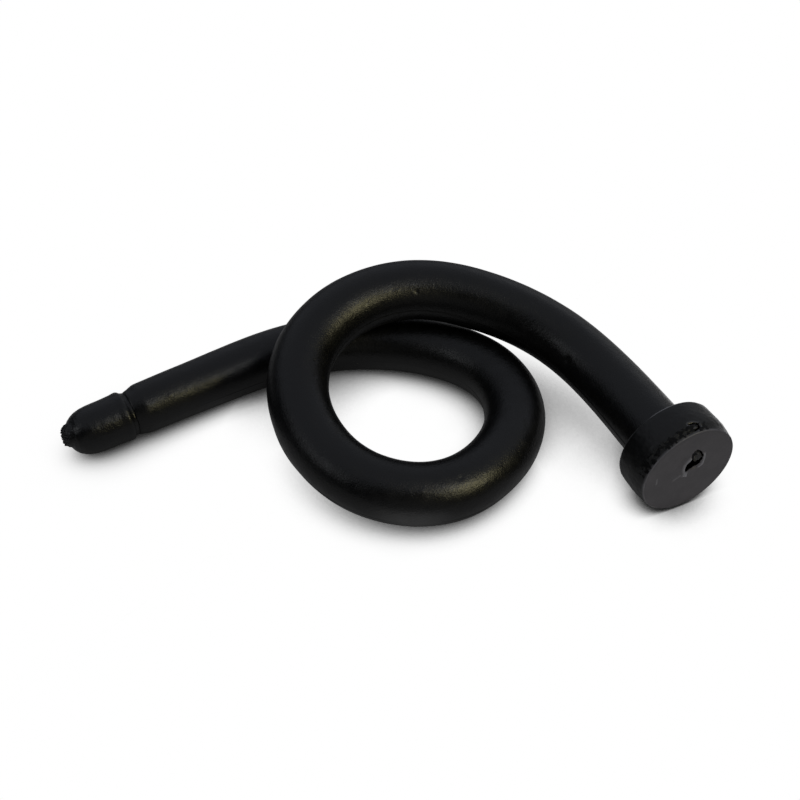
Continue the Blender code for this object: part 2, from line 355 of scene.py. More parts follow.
SEAMS = (55.0, 105.0)
STEP_ALONG = 0.27
STEP_AT_SHOULDER = 0.07
GROOVE_AT = TUBE_LENGTH - 0.6
SHOULDER = 1.7
COLUMNS = 112
PARTING_ANGLES = (186.0, 342.0)
PARTING_OFFSETS = (-1.6, -0.8, 0.0, 0.8, 1.6)
PARTING_HEIGHT = 0.055
SHOULDER_ROLL = 0.22
FLARE = 0.22
FLARE_LENGTH = 0.9

# Broad, shallow swellings of the skin: distance, angle, half-length in mm, half-width in degrees,
# and height in mm.
SWELLINGS = [
    (31.5, 217, 5.0, 30, 0.18),
    (114.5, 85, 6.0, 35, 0.10),
    (155.0, 90, 5.0, 60, 0.15),
]

# Pits and bumps: distance, angle, half-width in mm, and height in mm (below zero for a pit).
MARKS = [
    (39.2, 145, 0.22, -0.11),
    (39.6, 147, 0.18, 0.05),
    (38.7, 111, 0.20, 0.05),
    (41.8, 139, 0.16, 0.05),
    (59.0, 129, 0.22, -0.07),
    (61.4, 127, 0.20, -0.06),
    (82.9, 52, 0.16, 0.07),
    (86.9, 66, 0.24, -0.09),
    (98.2, 64, 0.20, -0.06),
    (15.6, 154, 0.50, -0.10),
    (16.4, 153, 0.30, 0.05),
    (154.0, 132, 0.20, 0.07),
    (46.5, 142, 0.20, -0.06),
    (89.0, 40, 0.20, 0.06),
    (72.0, 60, 0.22, -0.07),
    (120.0, 95, 0.24, -0.08),
    (141.0, 110, 0.22, 0.06),
    (24.0, 100, 0.22, -0.07),
    (8.0, 120, 0.20, 0.06),
]


def tube_angles():
    even = [360 * i / COLUMNS for i in range(COLUMNS)]
    clear = [a for a in even if min(angle_apart(a, p) for p in PARTING_ANGLES) > 2.6]
    near = [(p + o) % 360 for p in PARTING_ANGLES for o in PARTING_OFFSETS]
    return np.array(sorted(clear + near))


ANGLES = tube_angles()
SIDES = len(ANGLES)


def tube_places():
    """Distances of the skin's rings, with one on each seam and close ones at the shoulder."""
    stops = (0.0, *SEAMS, GROOVE_AT - SHOULDER, GROOVE_AT)
    steps = (STEP_ALONG, STEP_ALONG, STEP_ALONG, STEP_AT_SHOULDER)
    places = [0.0]
    for start, end, step in zip(stops, stops[1:], steps):
        count = round((end - start) / step)
        places += [start + (end - start) * i / count for i in range(1, count + 1)]
    return np.array(places)


def tube_surface(places, angles):
    """Points of the skin, and how far each is raised by its marks and parting lines."""
    s, degrees = np.meshgrid(places, angles, indexing="ij")
    along, across, up = directions(s)
    turn = np.radians(degrees)[..., None]
    out = np.cos(turn) * across + np.sin(turn) * up
    radius = tube_radius(s)
    plain = centre(s) + out * radius[..., None]
    lumps = 0.035 * noise_at(plain, 7.0) + 0.012 * noise_at(plain, 2.2, 9.0)
    for place, angle, half_length, half_angle, height in SWELLINGS:
        apart = angle_apart(degrees, angle) / half_angle
        lumps += height * np.exp(-((s - place) / half_length) ** 2 - apart**2)
    raised = np.zeros_like(s)
    for place, angle, half_width, height in MARKS:
        apart = np.radians(angle_apart(degrees, angle)) * radius
        reach = np.hypot(s - place, apart) / half_width
        raised += height * np.exp(-reach**2)
    ridge = np.zeros_like(s)
    for angle in PARTING_ANGLES:
        ridge = np.maximum(ridge, 1 - np.clip(angle_apart(degrees, angle) / PARTING_OFFSETS[-1], 0, 1))
    ridge *= PARTING_HEIGHT * smooth(-0.5, 0.4, noise_at(plain, 5.0, 21.0))
    shoulder = np.clip((s - (GROOVE_AT - SHOULDER)) / SHOULDER, 0, 1)
    slope = 0.34 + 0.16 * noise_at(plain, 1.6, 25.0)
    last_quarter = np.clip(shoulder * 4 - 3, 0, 1)
    roll = SHOULDER_ROLL * (1 - np.sqrt(1 - last_quarter**2 * 0.98))
    drop = slope * smooth(0, 1, shoulder) + roll
    flare = FLARE * (1 - smooth(0.0, FLARE_LENGTH, s))
    height = lumps + raised + ridge * (1 - shoulder) - drop + flare
    return plain + out * height[..., None], raised, ridge


def surface_normals(grid):
    """Outward unit normals of a closed-round grid of points."""
    step = np.gradient(grid, axis=0)
    turn = np.roll(grid, -1, axis=1) - np.roll(grid, 1, axis=1)
    normals = np.cross(step, turn)
    normals /= np.linalg.norm(normals, axis=-1, keepdims=True)
    return normals


def sleeve(name, places, outer, normals, bore, material):
    """A closed piece between an outer grid and a bore of the same number of columns. Its outer
    normals come from the whole tube, so the seams between pieces don't show."""
    sides = outer.shape[1]
    points = np.concatenate([outer.reshape(-1, 3), bore.reshape(-1, 3)])
    first_bore = outer.shape[0] * sides
    faces = []
    for i in range(outer.shape[0] - 1):
        faces += ring_quads(i * sides, (i + 1) * sides, sides)
    for i in range(bore.shape[0] - 1):
        faces += ring_quads(first_bore + (i + 1) * sides, first_bore + i * sides, sides)
    skin_faces = (outer.shape[0] - 1) * sides
    last_outer = (outer.shape[0] - 1) * sides
    last_bore = first_bore + (bore.shape[0] - 1) * sides
    faces += ring_quads(first_bore, 0, sides)
    faces += ring_quads(last_outer, last_bore, sides)
    piece = new_piece(name, points, faces, material)
    mesh = piece.data
    corner_vertex = np.zeros(len(mesh.loops), int)
    mesh.loops.foreach_get("vertex_index", corner_vertex)
    corner_normals = np.zeros(len(mesh.loops) * 3)
    mesh.corner_normals.foreach_get("vector", corner_normals)
    corner_normals = corner_normals.reshape(-1, 3)
    corners = skin_faces * 4
    corner_normals[:corners] = normals.reshape(-1, 3)[corner_vertex[:corners]]
    along, _, _ = directions(np.array([places[0], places[-1]]))
    ends = len(mesh.loops) - 2 * sides * 4
    corner_normals[ends:ends + sides * 4] = -along[0]
    corner_normals[ends + sides * 4:] = along[1]
    mesh.normals_split_custom_set(corner_normals.tolist())
    return piece


def bore_grid(places, angles, shrink):
    s, degrees = np.meshgrid(places, angles, indexing="ij")
    _, across, up = directions(s)
    turn = np.radians(degrees)[..., None]
    radius = (tube_radius(s) - shrink)[..., None]
    return centre(s) + (np.cos(turn) * across + np.sin(turn) * up) * radius


def make_tube():
    places = tube_places()
    grid, raised, ridge = tube_surface(places, ANGLES)
    normals = surface_normals(grid)
    wear_and_highlight = np.clip(ridge / PARTING_HEIGHT, 0, 1) * 0.35 + np.clip(raised / 0.08, 0, 1) * 0.5
    pieces = []
    cuts = (0.0, *SEAMS, GROOVE_AT)
    for name, start, end in zip(("tube_near", "tube_middle", "tube_far"), cuts, cuts[1:]):
        keep = (places > start - 1e-6) & (places < end + 1e-6)
        own = places[keep]
        bore_places = np.linspace(start, end, round((end - start) / 1.5) + 1)
        bore = bore_grid(bore_places, ANGLES, WALL)
        piece = sleeve(name, own, grid[keep], normals[keep], bore, TUBE_SKIN)
        set_number(piece, "wear_and_highlight", np.concatenate([wear_and_highlight[keep].ravel(), np.zeros(bore.shape[0] * SIDES)]))
        pieces.append(piece)
    return pieces


def make_gel():
    """The core, from the button's spigot to the bulb's, in the same three lengths."""
    sides = 40
    angles = np.arange(sides) * 360 / sides
    pieces = []
    cuts = (GEL_FROM_BUTTON, *SEAMS, TUBE_LENGTH - GEL_FROM_END)
    for name, start, end in zip(("gel_near", "gel_middle", "gel_far"), cuts, cuts[1:]):
        places = np.linspace(start, end, round((end - start) / 1.0) + 1)
        grid = bore_grid(places, angles, WALL + GEL_GAP)
        points = np.concatenate([grid.reshape(-1, 3), centre(places[[0, -1]])])
        faces = []
        for i in range(len(places) - 1):
            faces += ring_quads(i * sides, (i + 1) * sides, sides)
        near, far, last = len(places) * sides, len(places) * sides + 1, (len(places) - 1) * sides
        faces += [(near, i, (i + 1) % sides) for i in range(sides)]
        faces += [(far, last + (i + 1) % sides, last + i) for i in range(sides)]
        piece = new_piece(name, points, faces, GEL_SKIN)
        pieces.append(piece)
    return pieces


tube_near, tube_middle, tube_far = make_tube()
gel_near, gel_middle, gel_far = make_gel()

# ---------------------------------------------------------------- the button

BUTTON_THICKNESS = 4.9
WALL_RADIUS = 6.15
WALL_PROFILE = [
    (0.0, 5.72),
    (0.05, 5.86),
    (0.16, 5.98),
    (0.34, 6.07),
    (0.7, 6.11),
    (1.4, 6.14),
    (2.3, 6.18),
    (3.1, 6.16),
    (3.8, 6.08),
    (4.2, 6.0),
    (4.55, 5.94),
    (4.76, 5.92),
    (4.86, 5.89),
    (4.9, 5.84),
]
SPIGOT_PROFILE = [(-2.5, 0.02), (-2.5, 1.2), (-2.5, 2.25), (-2.4, 2.34), (-1.2, 2.35), (-0.05, 2.35)]
BACK_PROFILE = [(0.35, 2.5), (0.35, 3.2), (0.35, 4.0), (0.02, 4.3), (0.02, 4.7), (0.02, 5.1), (0.02, 5.45)]
BUTTON_SIDES = 360
HOLE_DEPTH = 3.6
BUTTON_ACROSS = 0.12
BUTTON_RAISED = 0.08

# Places on the face are in mm from its middle, level and then up. The torn hole's outline, and the
# outline of the crumb of the seal that is left in its upper part:
HOLE_OUTLINE = [
    (-0.45, 0.20),
    (-0.55, 0.80),
    (-0.40, 1.25),
    (-0.15, 1.55),
    (0.12, 1.60),
    (0.10, 2.15),
    (0.15, 2.65),
    (0.35, 3.00),
    (0.65, 3.20),
    (1.05, 2.90),
    (1.50, 2.35),
    (1.70, 1.85),
    (1.70, 1.35),
    (1.55, 0.90),
    (1.35, 0.60),
    (0.85, 0.45),
    (0.30, 0.25),
    (-0.10, 0.00),
]
CRUMB_OUTLINE = [
    (0.65, 2.70),
    (0.95, 2.78),
    (1.30, 2.35),
    (1.45, 1.90),
    (1.42, 1.45),
    (1.35, 1.10),
    (1.05, 1.05),
    (0.65, 1.45),
    (0.30, 1.80),
    (0.55, 2.20),
]
CRUMB_MIDDLE = (0.98, 1.90)
CRUMB_DEPTH = 0.62

# Raised and sunk lines on the face: points, half-width and height in mm, and how light they are painted:
# the hole's rims near white as painted highlights, and the small scratches lighter.
FACE_LINES = [
    ([(-0.35, -0.35), (-0.68, 0.45), (-0.64, 1.20), (-0.32, 1.78), (-0.02, 2.05)], 0.16, 0.30, 1.5),
    ([(1.78, 2.15), (1.90, 1.40), (1.82, 0.55), (1.40, 0.20)], 0.15, 0.24, 1.4),
    ([(-0.48, -0.48), (-0.2, -0.25)], 0.20, 0.22, 1.4),
    ([(0.40, 0.0), (0.75, 0.10), (1.15, 0.17)], 0.09, -0.16, -0.4),
    ([(-0.90, 2.30), (-1.20, 1.50), (-1.25, 0.90)], 0.55, -0.18, -0.2),
    ([(-1.75, -0.72), (-1.0, -0.35)], 0.16, 0.07, 0.5),
    ([(-4.12, 0.50), (-4.05, -0.35)], 0.08, -0.08, 0.8),
    ([(5.20, 3.30), (5.65, 2.20)], 0.10, -0.08, 0.5),
]

# A small curved nick in the wall, as angle on the face in degrees and distance from the back.
WALL_NICK = [(92, 3.47), (87, 3.50), (83, 3.75), (82.5, 4.0), (85, 4.25), (90, 4.40)]
NICK_HALF_WIDTH = 0.10
NICK_DEPTH = 0.16
# Within this distance of the nick's line, its groove is painted near black as shade.
NICK_SHADE_REACH = 0.05


def line_distance(u, v, points):
    """Distance in mm to a line through points."""
    best = np.full(np.shape(u), 1e9)
    for (x0, y0), (x1, y1) in zip(points, points[1:]):
        dx, dy = x1 - x0, y1 - y0
        t = np.clip(((u - x0) * dx + (v - y0) * dy) / (dx * dx + dy * dy), 0, 1)
        best = np.minimum(best, np.hypot(u - x0 - t * dx, v - y0 - t * dy))
    return best


def inside_outline(u, v, points):
    """Distance in mm inside a closed outline, below zero outside it."""
    inside = np.zeros(np.shape(u), bool)
    closed = points + points[:1]
    for (x0, y0), (x1, y1) in zip(closed, closed[1:]):
        if y0 != y1:
            inside ^= ((y0 > v) != (y1 > v)) & (u < x0 + (v - y0) * (x1 - x0) / (y1 - y0))
    distance = line_distance(u, v, closed)
    return np.where(inside, distance, -distance)


def face_height(u, v):
    """Height of the button's face over its plane, in mm, with its number for painted shade deep in
    the hole and for light places: painted highlights on the hole's rims, and lighter scratches."""
    place = np.stack([u, v, np.zeros_like(u)], -1)
    inside = inside_outline(u + BUTTON_ACROSS, v + BUTTON_RAISED, HOLE_OUTLINE)
    inside += 0.06 * noise_at(place, 0.35, 3.0) + 0.03 * noise_at(place, 0.15, 5.0)
    hole = smooth(-0.02, 0.10, inside)
    height = 0.03 * noise_at(place, 2.6, 2.0) + 0.012 * noise_at(place, 0.6, 7.0) - HOLE_DEPTH * hole
    ragged = 0.75 + 0.4 * noise_at(place, 0.45, 11.0)
    wear_and_highlight = np.zeros_like(u)
    for points, half_width, rise, light in FACE_LINES:
        away = line_distance(u + BUTTON_ACROSS, v + BUTTON_RAISED, points)
        line = np.exp(-(away / half_width) ** 2) * ragged * (1 - hole)
        height += rise * line
        wear_and_highlight += light * line
    # Painted shade: deep in the hole the face is made near black.
    painted_deep_shade = smooth(0.01, 0.05, hole)
    return height, painted_deep_shade, np.clip(wear_and_highlight, 0, 1)


def make_button():
    along, across, up = (d[0] for d in directions(np.array([0.0])))
    outwards = -along
    base = centre(np.array([0.0]))[0] + BUTTON_ACROSS * across + BUTTON_RAISED * up
    turn = np.radians(np.arange(BUTTON_SIDES) * 360 / BUTTON_SIDES)
    spokes = np.cos(turn)[:, None] * across - np.sin(turn)[:, None] * up

    rings, face_share, speckled, wear_and_highlight, painted_deep_shade, dull = [], [], [], [], [], []

    def ring(points, face=0.0, speck=0.0, ring_highlight_and_wear=0.0, dark=0.0, dim=0.0):
        rings.append(points)
        for store, value in zip((face_share, speckled, wear_and_highlight, painted_deep_shade, dull), (face, speck, ring_highlight_and_wear, dark, dim)):
            store.append(np.broadcast_to(value, BUTTON_SIDES).astype(float))

    # The spigot and the back, from the middle of the spigot's end to the back edge.
    for step, radius in SPIGOT_PROFILE:
        ring(base + outwards * step + spokes * radius)
    for step, radius in BACK_PROFILE:
        ring(base + outwards * step + spokes * radius)

    # The wall.
    slant = -np.degrees(turn) % 360
    nick = [(math.radians(angle) * WALL_RADIUS, step) for angle, step in WALL_NICK]
    steps = np.array([step for step, _ in WALL_PROFILE])
    radii = np.array([radius for _, radius in WALL_PROFILE])
    fine = np.unique(np.concatenate([steps, np.linspace(0.34, 4.55, 56)]))
    for step in fine:
        radius = np.interp(step, steps, radii)
        plain = base + outwards * step + spokes * radius
        dimples = 0.035 * noise_at(plain, 1.3, 4.0) + 0.02 * noise_at(plain, 0.45, 8.0)
        lumps = 0.05 * noise_at(plain, 5.0, 14.0)
        band = smooth(3.3, 3.9, step) * (1 - smooth(4.6, 4.85, step))
        upper_left = smooth(58, 80, slant) * (1 - smooth(155, 185, slant))
        pitted = band * upper_left * 0.08 * np.minimum(noise_at(plain, 0.38, 31.0), 0.15)
        pitted += 0.03 * np.minimum(noise_at(plain, 0.5, 35.0) + 0.3, 0.0)
        from_nick = line_distance(np.radians(slant) * WALL_RADIUS, np.full_like(slant, step), nick)
        cut = np.exp(-(from_nick / NICK_HALF_WIDTH) ** 2)
        inside = smooth(0.0, 0.3, step) * (1 - smooth(4.7, 4.9, step))
        height = lumps + (dimples + pitted) * inside - NICK_DEPTH * cut
        # Painted highlight: the back edge is made light, most along its top. The face's rim and a line
        # round the nick are made lighter too.
        painted_back_highlight = 0.12 + 0.6 * smooth(78, 88, slant) * (1 - smooth(112, 122, slant))
        edge = np.exp(-((step - 0.14) / 0.10) ** 2) * painted_back_highlight + smooth(4.68, 4.82, step) * 0.35
        ring_highlight_and_wear = edge * (0.6 + 0.5 * noise_at(plain, 1.2, 17.0))
        ring_highlight_and_wear += 0.2 * np.exp(-((from_nick - 0.24) / 0.07) ** 2)
        mottle = noise_at(plain, 0.42, 31.0) + 0.6 * noise_at(plain, 0.2, 33.0)
        dim = band * upper_left * smooth(0.12, 0.02, mottle)
        ring_highlight_and_wear = np.clip(ring_highlight_and_wear, 0, 1)
        # The nick's groove gets the painted shade of the hole.
        dark = from_nick < NICK_SHADE_REACH
        ring(plain + spokes * height[:, None], smooth(4.7, 4.88, step), band * upper_left, ring_highlight_and_wear, dark, dim)

    # The face, from its edge to the middle.
    face_radius = WALL_PROFILE[-1][1]
    for radius in np.concatenate([np.linspace(face_radius - 0.06, 3.6, 26), np.linspace(3.55, 0.03, 88)]):
        u = np.cos(turn) * radius
        v = -np.sin(turn) * radius
        height, dark, ring_highlight_and_wear = face_height(u, v)
        rounding = -0.05 * smooth(face_radius - 0.25, face_radius, radius)
        plain = base + outwards * BUTTON_THICKNESS + spokes * radius
        ring(plain + outwards * (height + rounding)[:, None], 1.0, 0.0, ring_highlight_and_wear, dark)

    count = len(rings)
    points = np.concatenate(rings + [[base + outwards * SPIGOT_PROFILE[0][0]], [rings[-1].mean(axis=0)]])
    faces = []
    for i in range(count - 1):
        faces += ring_quads(i * BUTTON_SIDES, (i + 1) * BUTTON_SIDES, BUTTON_SIDES)
    back, front, last = count * BUTTON_SIDES, count * BUTTON_SIDES + 1, (count - 1) * BUTTON_SIDES
    faces += [(back, i, (i + 1) % BUTTON_SIDES) for i in range(BUTTON_SIDES)]
    faces += [(front, last + (i + 1) % BUTTON_SIDES, last + i) for i in range(BUTTON_SIDES)]
    piece = new_piece("button", points, faces, BUTTON_SKIN)
    for name, store in (("face", face_share), ("speckled", speckled), ("wear_and_highlight", wear_and_highlight), ("painted_deep_shade", painted_deep_shade)):
        values = np.concatenate(store)
        set_number(piece, name, np.concatenate([values, [0.0], [values[-1]]]))
    darkness = np.concatenate(painted_deep_shade + [[0.0], [painted_deep_shade[-1].mean()]])
    dullness = np.concatenate(dull + [[0.0], [0.0]])
    piece.data.materials.append(HOLE_SHADE_SKIN)
    piece.data.materials.append(DULL_SKIN)
    # Faces deep in the hole or the nick get the shineless painted-shade material, and the mottled band gets
    # the duller rubber.
    skins = [1 if darkness[list(f)].max() > 0.5 else 2 * int(dullness[list(f)].mean() > 0.5) for f in faces]
    piece.data.polygons.foreach_set("material_index", skins)
    return piece, base, outwards, across, up


button, button_base, button_out, button_across, button_up = make_button()


def make_crumb():
    """The torn plug that is left in the hole: a lumpy crumb that nearly fills its upper part."""
    rows, sides = 28, 48
    turns = np.arange(sides) * 2 * math.pi / sides
    trial = np.linspace(0.05, 1.4, 100)
    along_u = CRUMB_MIDDLE[0] + np.cos(turns)[:, None] * trial
    along_v = CRUMB_MIDDLE[1] + np.sin(turns)[:, None] * trial
    reach = (inside_outline(along_u, along_v, CRUMB_OUTLINE) > 0).sum(axis=1) * (trial[1] - trial[0]) + 0.05
    points = []
    for i in range(1, rows):
        polar = math.pi * i / rows
        wide = math.sin(polar) ** 0.38
        flat = np.stack([np.cos(turns), np.sin(turns)], -1) * (wide * reach)[:, None]
        points += [(x, y, math.cos(polar)) for x, y in flat]
    shaped = np.array(points + [(0, 0, 1), (0, 0, -1)])
    swell = 1 + 0.22 * noise_at(shaped, 0.5, 40.0) + 0.14 * noise_at(shaped, 0.22, 44.0)
    lumps = 0.42 * noise_at(shaped, 0.42, 48.0) + 0.22 * noise_at(shaped, 0.2, 49.0)
    shaped[:, :2] *= swell[:, None] * 1.12
    shaped[:, 2] = shaped[:, 2] * 0.7 + lumps
    place = button_base + button_out * (BUTTON_THICKNESS - CRUMB_DEPTH)
    place = place + button_across * (CRUMB_MIDDLE[0] - BUTTON_ACROSS)
    place = place + button_up * (CRUMB_MIDDLE[1] - BUTTON_RAISED)
    world = place + shaped[:, :1] * button_across + shaped[:, 1:2] * button_up + shaped[:, 2:] * button_out
    faces = []
    for i in range(rows - 2):
        for j in range(sides):
            a, b = i * sides + j, i * sides + (j + 1) % sides
            faces.append((a, a + sides, b + sides, b))
    top, bottom, last = (rows - 1) * sides, (rows - 1) * sides + 1, (rows - 2) * sides
    faces += [(top, j, (j + 1) % sides) for j in range(sides)]
    faces += [(bottom, last + (j + 1) % sides, last + j) for j in range(sides)]
    piece = new_piece("hole_crumb", world, faces, SEAL_SKIN)
    set_number(piece, "wear_and_highlight", np.clip(lumps * 4, 0, 1))
    return piece


crumb = make_crumb()

# ---------------------------------------------------------------- the bulb

BULB_PROFILE = [
    (-2.4, 1.4),
    (-2.3, 1.5),
    (-0.5, 1.52),
    (-0.4, 2.2),
    (-0.05, 2.66),
    (0.2, 2.70),
    (0.4, 2.80),
    (0.6, 2.98),
    (0.8, 3.07),
    (1.1, 3.07),
    (1.6, 3.01),
    (2.6, 2.98),
    (3.6, 2.96),
    (4.6, 2.92),
    (5.4, 2.84),
    (6.1, 2.68),
    (6.7, 2.40),
    (7.2, 2.05),
    (7.58, 1.60),
    (7.84, 1.10),
    (7.98, 0.55),
    (8.02, 0.03),
]
BULB_SIDES = 160
NUB_RADIUS = 1.45
NUB_UP = 0.62
NUB_FROM = 5.0
NUB_HEIGHT = 0.55
FINE_FROM = 3.0


def make_bulb():
    along, across, up = (d[0] for d in directions(np.array([GROOVE_AT])))
    base = centre(np.array([GROOVE_AT]))[0]
    turn = np.radians(np.arange(BULB_SIDES) * 360 / BULB_SIDES)
    spokes = np.cos(turn)[:, None] * across + np.sin(turn)[:, None] * up
    profile = np.array(BULB_PROFILE)
    lengths = np.concatenate([[0], np.cumsum(np.linalg.norm(np.diff(profile, axis=0), axis=1))])
    fine = [0.0]
    while fine[-1] < lengths[-1] - 0.07:
        fine.append(fine[-1] + (0.075 if fine[-1] > FINE_FROM else 0.3))
    fine.append(lengths[-1])
    rings, wear_and_highlight = [], []
    for length in fine:
        step = np.interp(length, lengths, profile[:, 0])
        radius = np.interp(length, lengths, profile[:, 1])
        plain = base + along * step + spokes * radius
        lumps = 0.05 * noise_at(plain, 3.0, 50.0) + 0.018 * noise_at(plain, 0.8, 53.0)
        lumps = lumps * smooth(-0.3, 0.6, step)
        out = spokes * lumps[:, None]
        side = np.stack([np.cos(turn) * radius, np.sin(turn) * radius - NUB_UP], -1)
        reach = np.hypot(side[:, 0], side[:, 1])
        crumbs = 0.7 + 0.6 * noise_at(plain, 0.36, 60.0) + 0.35 * noise_at(plain, 0.16, 64.0)
        edge = NUB_RADIUS + 0.12 * noise_at(plain, 0.4, 67.0)
        nub = (1 - smooth(edge - 0.2, edge, reach)) * np.clip(crumbs, 0.0, 1.2)
        nub = nub * (step > NUB_FROM) * NUB_HEIGHT
        rings.append(plain + out + along * nub[:, None])
        # Painted highlight: the lip's ring is made lighter. The nub is lighter from wear.
        lip_highlight = math.exp(-((step - 0.75) / 0.2) ** 2) * 0.3 * (1 + noise_at(plain, 0.8, 70.0))
        wear_and_highlight.append(np.clip(lip_highlight + nub * 0.4, 0, 1))
    count = len(rings)
    points = np.concatenate(rings + [[rings[0].mean(axis=0)], [rings[-1].mean(axis=0)]])
    faces = []
    for i in range(count - 1):
        faces += ring_quads(i * BULB_SIDES, (i + 1) * BULB_SIDES, BULB_SIDES)
    back, front, last = count * BULB_SIDES, count * BULB_SIDES + 1, (count - 1) * BULB_SIDES
    faces += [(back, i, (i + 1) % BULB_SIDES) for i in range(BULB_SIDES)]
    faces += [(front, last + (i + 1) % BULB_SIDES, last + i) for i in range(BULB_SIDES)]
    piece = new_piece("bulb", points, faces, BULB_SKIN)
    values = np.concatenate(wear_and_highlight)
    set_number(piece, "wear_and_highlight", np.concatenate([values, [0.0], [values[-1]]]))
    return piece


bulb = make_bulb()

# ---------------------------------------------------------------- riding, and the CAD's parts hidden


def bend_across(piece):
    """Bakes a piece's transform into its mesh."""
    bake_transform(piece)


for piece in (tube_near, gel_near):
    bend_across(piece)
for piece in (tube_middle, gel_middle):
    bend_across(piece)
for piece in (tube_far, gel_far):
    bend_across(piece)
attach(button, "arm")
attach(crumb, "arm")
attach(bulb, "tail")

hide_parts("tube_arm")
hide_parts("tube_upper_turn", "tube_lower_turn")
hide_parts("tube_tail")
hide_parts("gel_arm")
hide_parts("gel_upper_turn", "gel_lower_turn")
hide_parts("gel_tail")
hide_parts("head_button")
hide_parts("fill_seal")
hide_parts("tail_plug")

# ---------------------------------------------------------------- floor, light and camera

FLOOR_SIZE = 3.0
FLOOR_GREY = 0.2
FLOOR_DROP = 0.02
# Light that the floor sends up into the rubber, all round, behind and beside the button, and before
# the loop: middle in mm along X and Y, the distances where it is full and gone, and its strength.
FLOOR_GLOWS = [
    ((0.0, 0.0), 55.0, 120.0, 0.15),
    ((62.0, 34.0), 14.0, 45.0, 0.25),
    ((46.0, 9.0), 4.0, 15.0, 0.90),
    ((3.0, -25.0), 3.0, 10.0, 0.35),
]
# The contact shadow: how far it reaches in mm, and the openness where it starts and ends, which
# change towards the left and the right between these places along X.
SHADE_REACH = 9.0
SHADE_START = 0.12
SHADE_START_RIGHT = 0.36
SHADE_END = 0.73
SHADE_END_LEFT = 0.93
SHADE_END_RIGHT = 0.80
LEFT_SIDE = (-34.0, -20.0)
RIGHT_SIDE = (25.0, 33.0)
SHADE_DARKEST = 0.01

# Light of the studio's world: its direction, the dot products where it starts and is full, colour
# and strength.
PANELS = [
    ((0.0, 0.42, 0.91), 0.36, 0.62, (0.92, 0.97, 1.09), 0.27),
    ((0.14, -0.99, 0.02), 0.78, 0.97, (1.0, 1.0, 1.0), 0.16),
    ((0.57, 0.82, 0.0), 0.86, 0.985, (1.0, 1.0, 1.0), 0.26),
]


def map_range(tree, value, low, high, to_low, to_high):
    """An even curve from to_low at low to to_high at high."""
    node = tree.nodes.new("ShaderNodeMapRange")
    node.interpolation_type = "SMOOTHSTEP"
    tree.links.new(value, node.inputs[0])
    for index, number in enumerate((low, high, to_low, to_high), 1):
        node.inputs[index].default_value = number
    return node.outputs[0]


def distance_from(tree, vector, middle):
    """Distance from a point of the floor."""
    node = tree.nodes.new("ShaderNodeVectorMath")
    node.operation = "DISTANCE"
    node.inputs[1].default_value = (middle[0] * MM, middle[1] * MM, 0)
    tree.links.new(vector, node.inputs[0])
    return node.outputs["Value"]


def combine(tree, operation, first, second):
    node = tree.nodes.new("ShaderNodeMath")
    node.operation = operation
    tree.links.new(first, node.inputs[0])
    tree.links.new(second, node.inputs[1])
    return node.outputs[0]


def make_floor():
    """A white floor with a soft contact shadow, which reflects in the rubber as a dim grey."""
    half = FLOOR_SIZE / 2
    mesh = bpy.data.meshes.new("floor")
    corners = [(-half, -half), (half, -half), (half, half), (-half, half)]
    mesh.from_pydata([(x, y, -FLOOR_DROP * MM) for x, y in corners], [], [(0, 1, 2, 3)])
    material = bpy.data.materials.new("pale_floor")
    material.use_nodes = True
    tree = material.node_tree
    output = tree.nodes["Material Output"]
    shader = tree.nodes["Principled BSDF"]
    shader.inputs["Roughness"].default_value = 0.9
    shader.inputs["Specular IOR Level"].default_value = 0.0
    shader.inputs["Base Color"].default_value = (FLOOR_GREY, FLOOR_GREY, FLOOR_GREY, 1)
    shader.inputs["Emission Color"].default_value = (1, 1, 1, 1)
    place = tree.nodes.new("ShaderNodeTexCoord")
    glow = None
    for middle, full, gone, strength in FLOOR_GLOWS:
        away = distance_from(tree, place.outputs["Object"], middle)
        spot = map_range(tree, away, full * MM, gone * MM, strength, 0.0)
        glow = combine(tree, "ADD", glow, spot) if glow else spot
    parts = tree.nodes.new("ShaderNodeSeparateXYZ")
    tree.links.new(place.outputs["Object"], parts.inputs[0])
    sideways = parts.outputs["X"]
    left, right = [[side * MM for side in sides] for sides in (LEFT_SIDE, RIGHT_SIDE)]
    start = map_range(tree, sideways, *right, SHADE_START, SHADE_START_RIGHT)
    end = combine(
        tree,
        "ADD",
        map_range(tree, sideways, *left, SHADE_END_LEFT, SHADE_END),
        map_range(tree, sideways, *right, 0.0, SHADE_END_RIGHT - SHADE_END),
    )
    shade = tree.nodes.new("ShaderNodeAmbientOcclusion")
    shade.inputs["Distance"].default_value = SHADE_REACH * MM
    shade.samples = 16
    white = tree.nodes.new("ShaderNodeEmission")
    lightness = map_range(tree, shade.outputs["AO"], SHADE_START, SHADE_END, SHADE_DARKEST, 1.0)
    tree.links.new(start, lightness.node.inputs["From Min"])
    tree.links.new(end, lightness.node.inputs["From Max"])
    tree.links.new(lightness, white.inputs["Strength"])
    tree.links.new(combine(tree, "MULTIPLY", glow, lightness), shader.inputs["Emission Strength"])
    seen = tree.nodes.new("ShaderNodeLightPath")
    mix = tree.nodes.new("ShaderNodeMixShader")
    tree.links.new(seen.outputs["Is Camera Ray"], mix.inputs[0])
    tree.links.new(shader.outputs[0], mix.inputs[1])
    tree.links.new(white.outputs[0], mix.inputs[2])
    tree.links.new(mix.outputs[0], output.inputs["Surface"])
    mesh.materials.append(material)
    floor = bpy.data.objects.new("floor", mesh)
    bpy.context.scene.collection.objects.link(floor)


